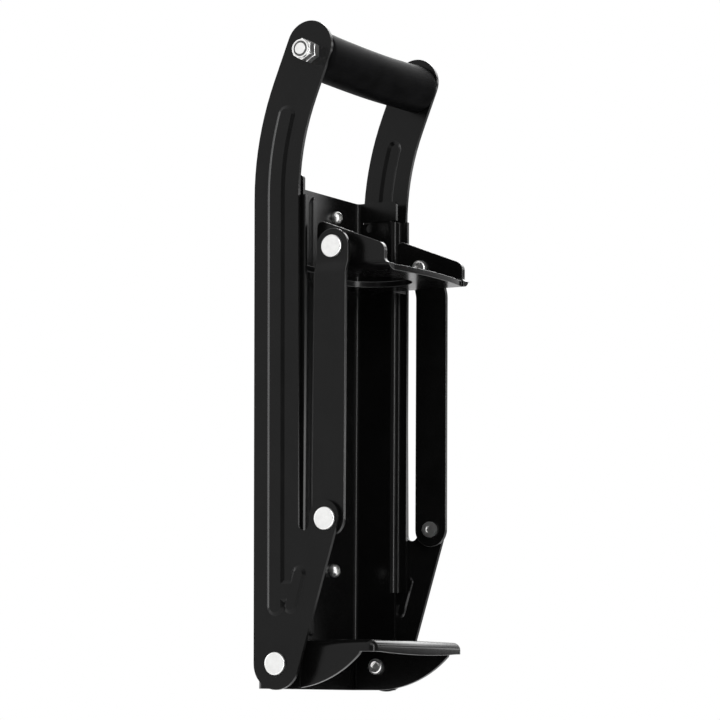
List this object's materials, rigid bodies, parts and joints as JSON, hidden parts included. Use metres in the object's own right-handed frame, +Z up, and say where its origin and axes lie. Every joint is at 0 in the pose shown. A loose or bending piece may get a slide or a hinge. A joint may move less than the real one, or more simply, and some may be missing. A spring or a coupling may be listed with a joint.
{
  "type": "lever can crusher",
  "caption": "Wall-mounted can crusher: a long forked lever with a foam grip drives a press head down a folded steel channel onto a small tray, through two side links.",
  "frame": {"origin": "middle of the wall plane at the foot of the back channel: X = 0 in the middle of the part, Y = 0 on the wall, Z = 0 at the foot of the channel", "axes": "+X across the part to the right when facing it, -Y out from the wall towards the user, +Z up along the channel"},
  "size_m": [0.1312, 0.0756, 0.3433],
  "materials": {
    "black_paint": "satin black powder coat on folded sheet steel",
    "zinc": "bright zinc plate",
    "foam": "matt closed-cell foam",
    "nylon": "dark nylon"
  },
  "bodies": {
    "frame": {"back_frame": "black_paint", "tray": "black_paint", "left_lever_rivet": "zinc", "right_lever_rivet": "zinc", "left_lever_spacer": "zinc", "right_lever_spacer": "zinc"},
    "lever": {"left_lever_arm": "black_paint", "right_lever_arm": "black_paint", "grip": "foam", "grip_core": "zinc", "grip_bolt": "zinc", "bolt_washer": "zinc", "jam_nut": "zinc", "lock_nut": "zinc", "nut_insert": "nylon", "left_ear_rivet": "zinc", "right_ear_rivet": "zinc", "left_ear_spacer": "zinc", "right_ear_spacer": "zinc"},
    "press_head": {"press_head": "black_paint", "left_head_rivet": "zinc", "right_head_rivet": "zinc", "left_head_spacer": "zinc", "right_head_spacer": "zinc"},
    "left_link": {"left_link": "black_paint", "left_link_stud": "zinc"},
    "right_link": {"right_link": "black_paint", "right_link_stud": "zinc"}
  },
  "joints": [
    {"name": "lever_hinge", "type": "hinge", "parent": "frame", "child": "lever", "pos_m": [0, -0.0164, 0.0126], "axis": [1, 0, 0], "range_deg": [0, 148]},
    {"name": "head_slide", "type": "slide", "parent": "frame", "child": "press_head", "axis": [0, 0, -1], "range_m": [0, 0.1508]},
    {"name": "left_link_hinge", "type": "hinge", "parent": "press_head", "child": "left_link", "pos_m": [-0.0511, -0.0449, 0.2251], "axis": [1, 0, 0], "range_deg": [0, 5.76]},
    {"name": "right_link_hinge", "type": "hinge", "parent": "press_head", "child": "right_link", "pos_m": [0.0511, -0.0449, 0.2251], "axis": [1, 0, 0], "range_deg": [0, 5.76]}
  ],
  "couplings": [
    {"joint": "head_slide", "follows": "lever_hinge", "m_per_rad": 0.058346},
    {"joint": "left_link_hinge", "follows": "lever_hinge", "ratio": 0.038877},
    {"joint": "right_link_hinge", "follows": "lever_hinge", "ratio": 0.038877}
  ]
}
